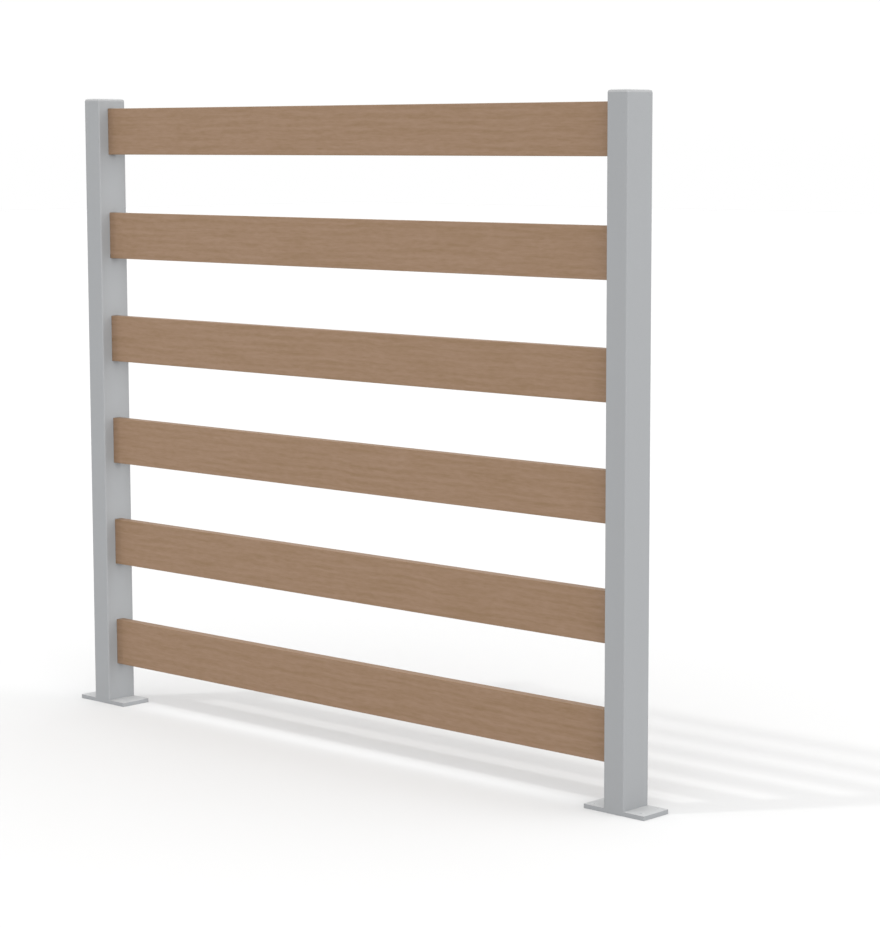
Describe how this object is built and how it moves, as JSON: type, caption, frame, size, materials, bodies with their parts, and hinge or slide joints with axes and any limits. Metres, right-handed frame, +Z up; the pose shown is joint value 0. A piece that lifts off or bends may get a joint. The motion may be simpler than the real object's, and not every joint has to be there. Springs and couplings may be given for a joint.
{
  "type": "horizontal slat fence panel",
  "caption": "Fence panel of horizontal wood slats housed in slotted rectangular tube posts that have bevelled push-in caps and bolt-down base plates.",
  "frame": {"origin": "middle of the left base plate's underside, on the ground plane", "axes": "+X along the fence to the right post, -Y the front, +Z up"},
  "size_m": [1.341, 0.06, 1.1035],
  "materials": {
    "post_metal": "light grey powder coat, satin",
    "plate_metal": "light grey powder coat, satin",
    "cap": "light grey powder coat, satin",
    "slat_wood": "matte, fine straight grain along the slat"
  },
  "bodies": {
    "root": {"left_post": "post_metal", "right_post": "post_metal", "left_base_plate": "plate_metal", "right_base_plate": "plate_metal", "left_post_cap": "cap", "right_post_cap": "cap", "slat_1": "slat_wood", "slat_2": "slat_wood", "slat_3": "slat_wood", "slat_4": "slat_wood", "slat_5": "slat_wood", "slat_6": "slat_wood"}
  },
  "joints": []
}
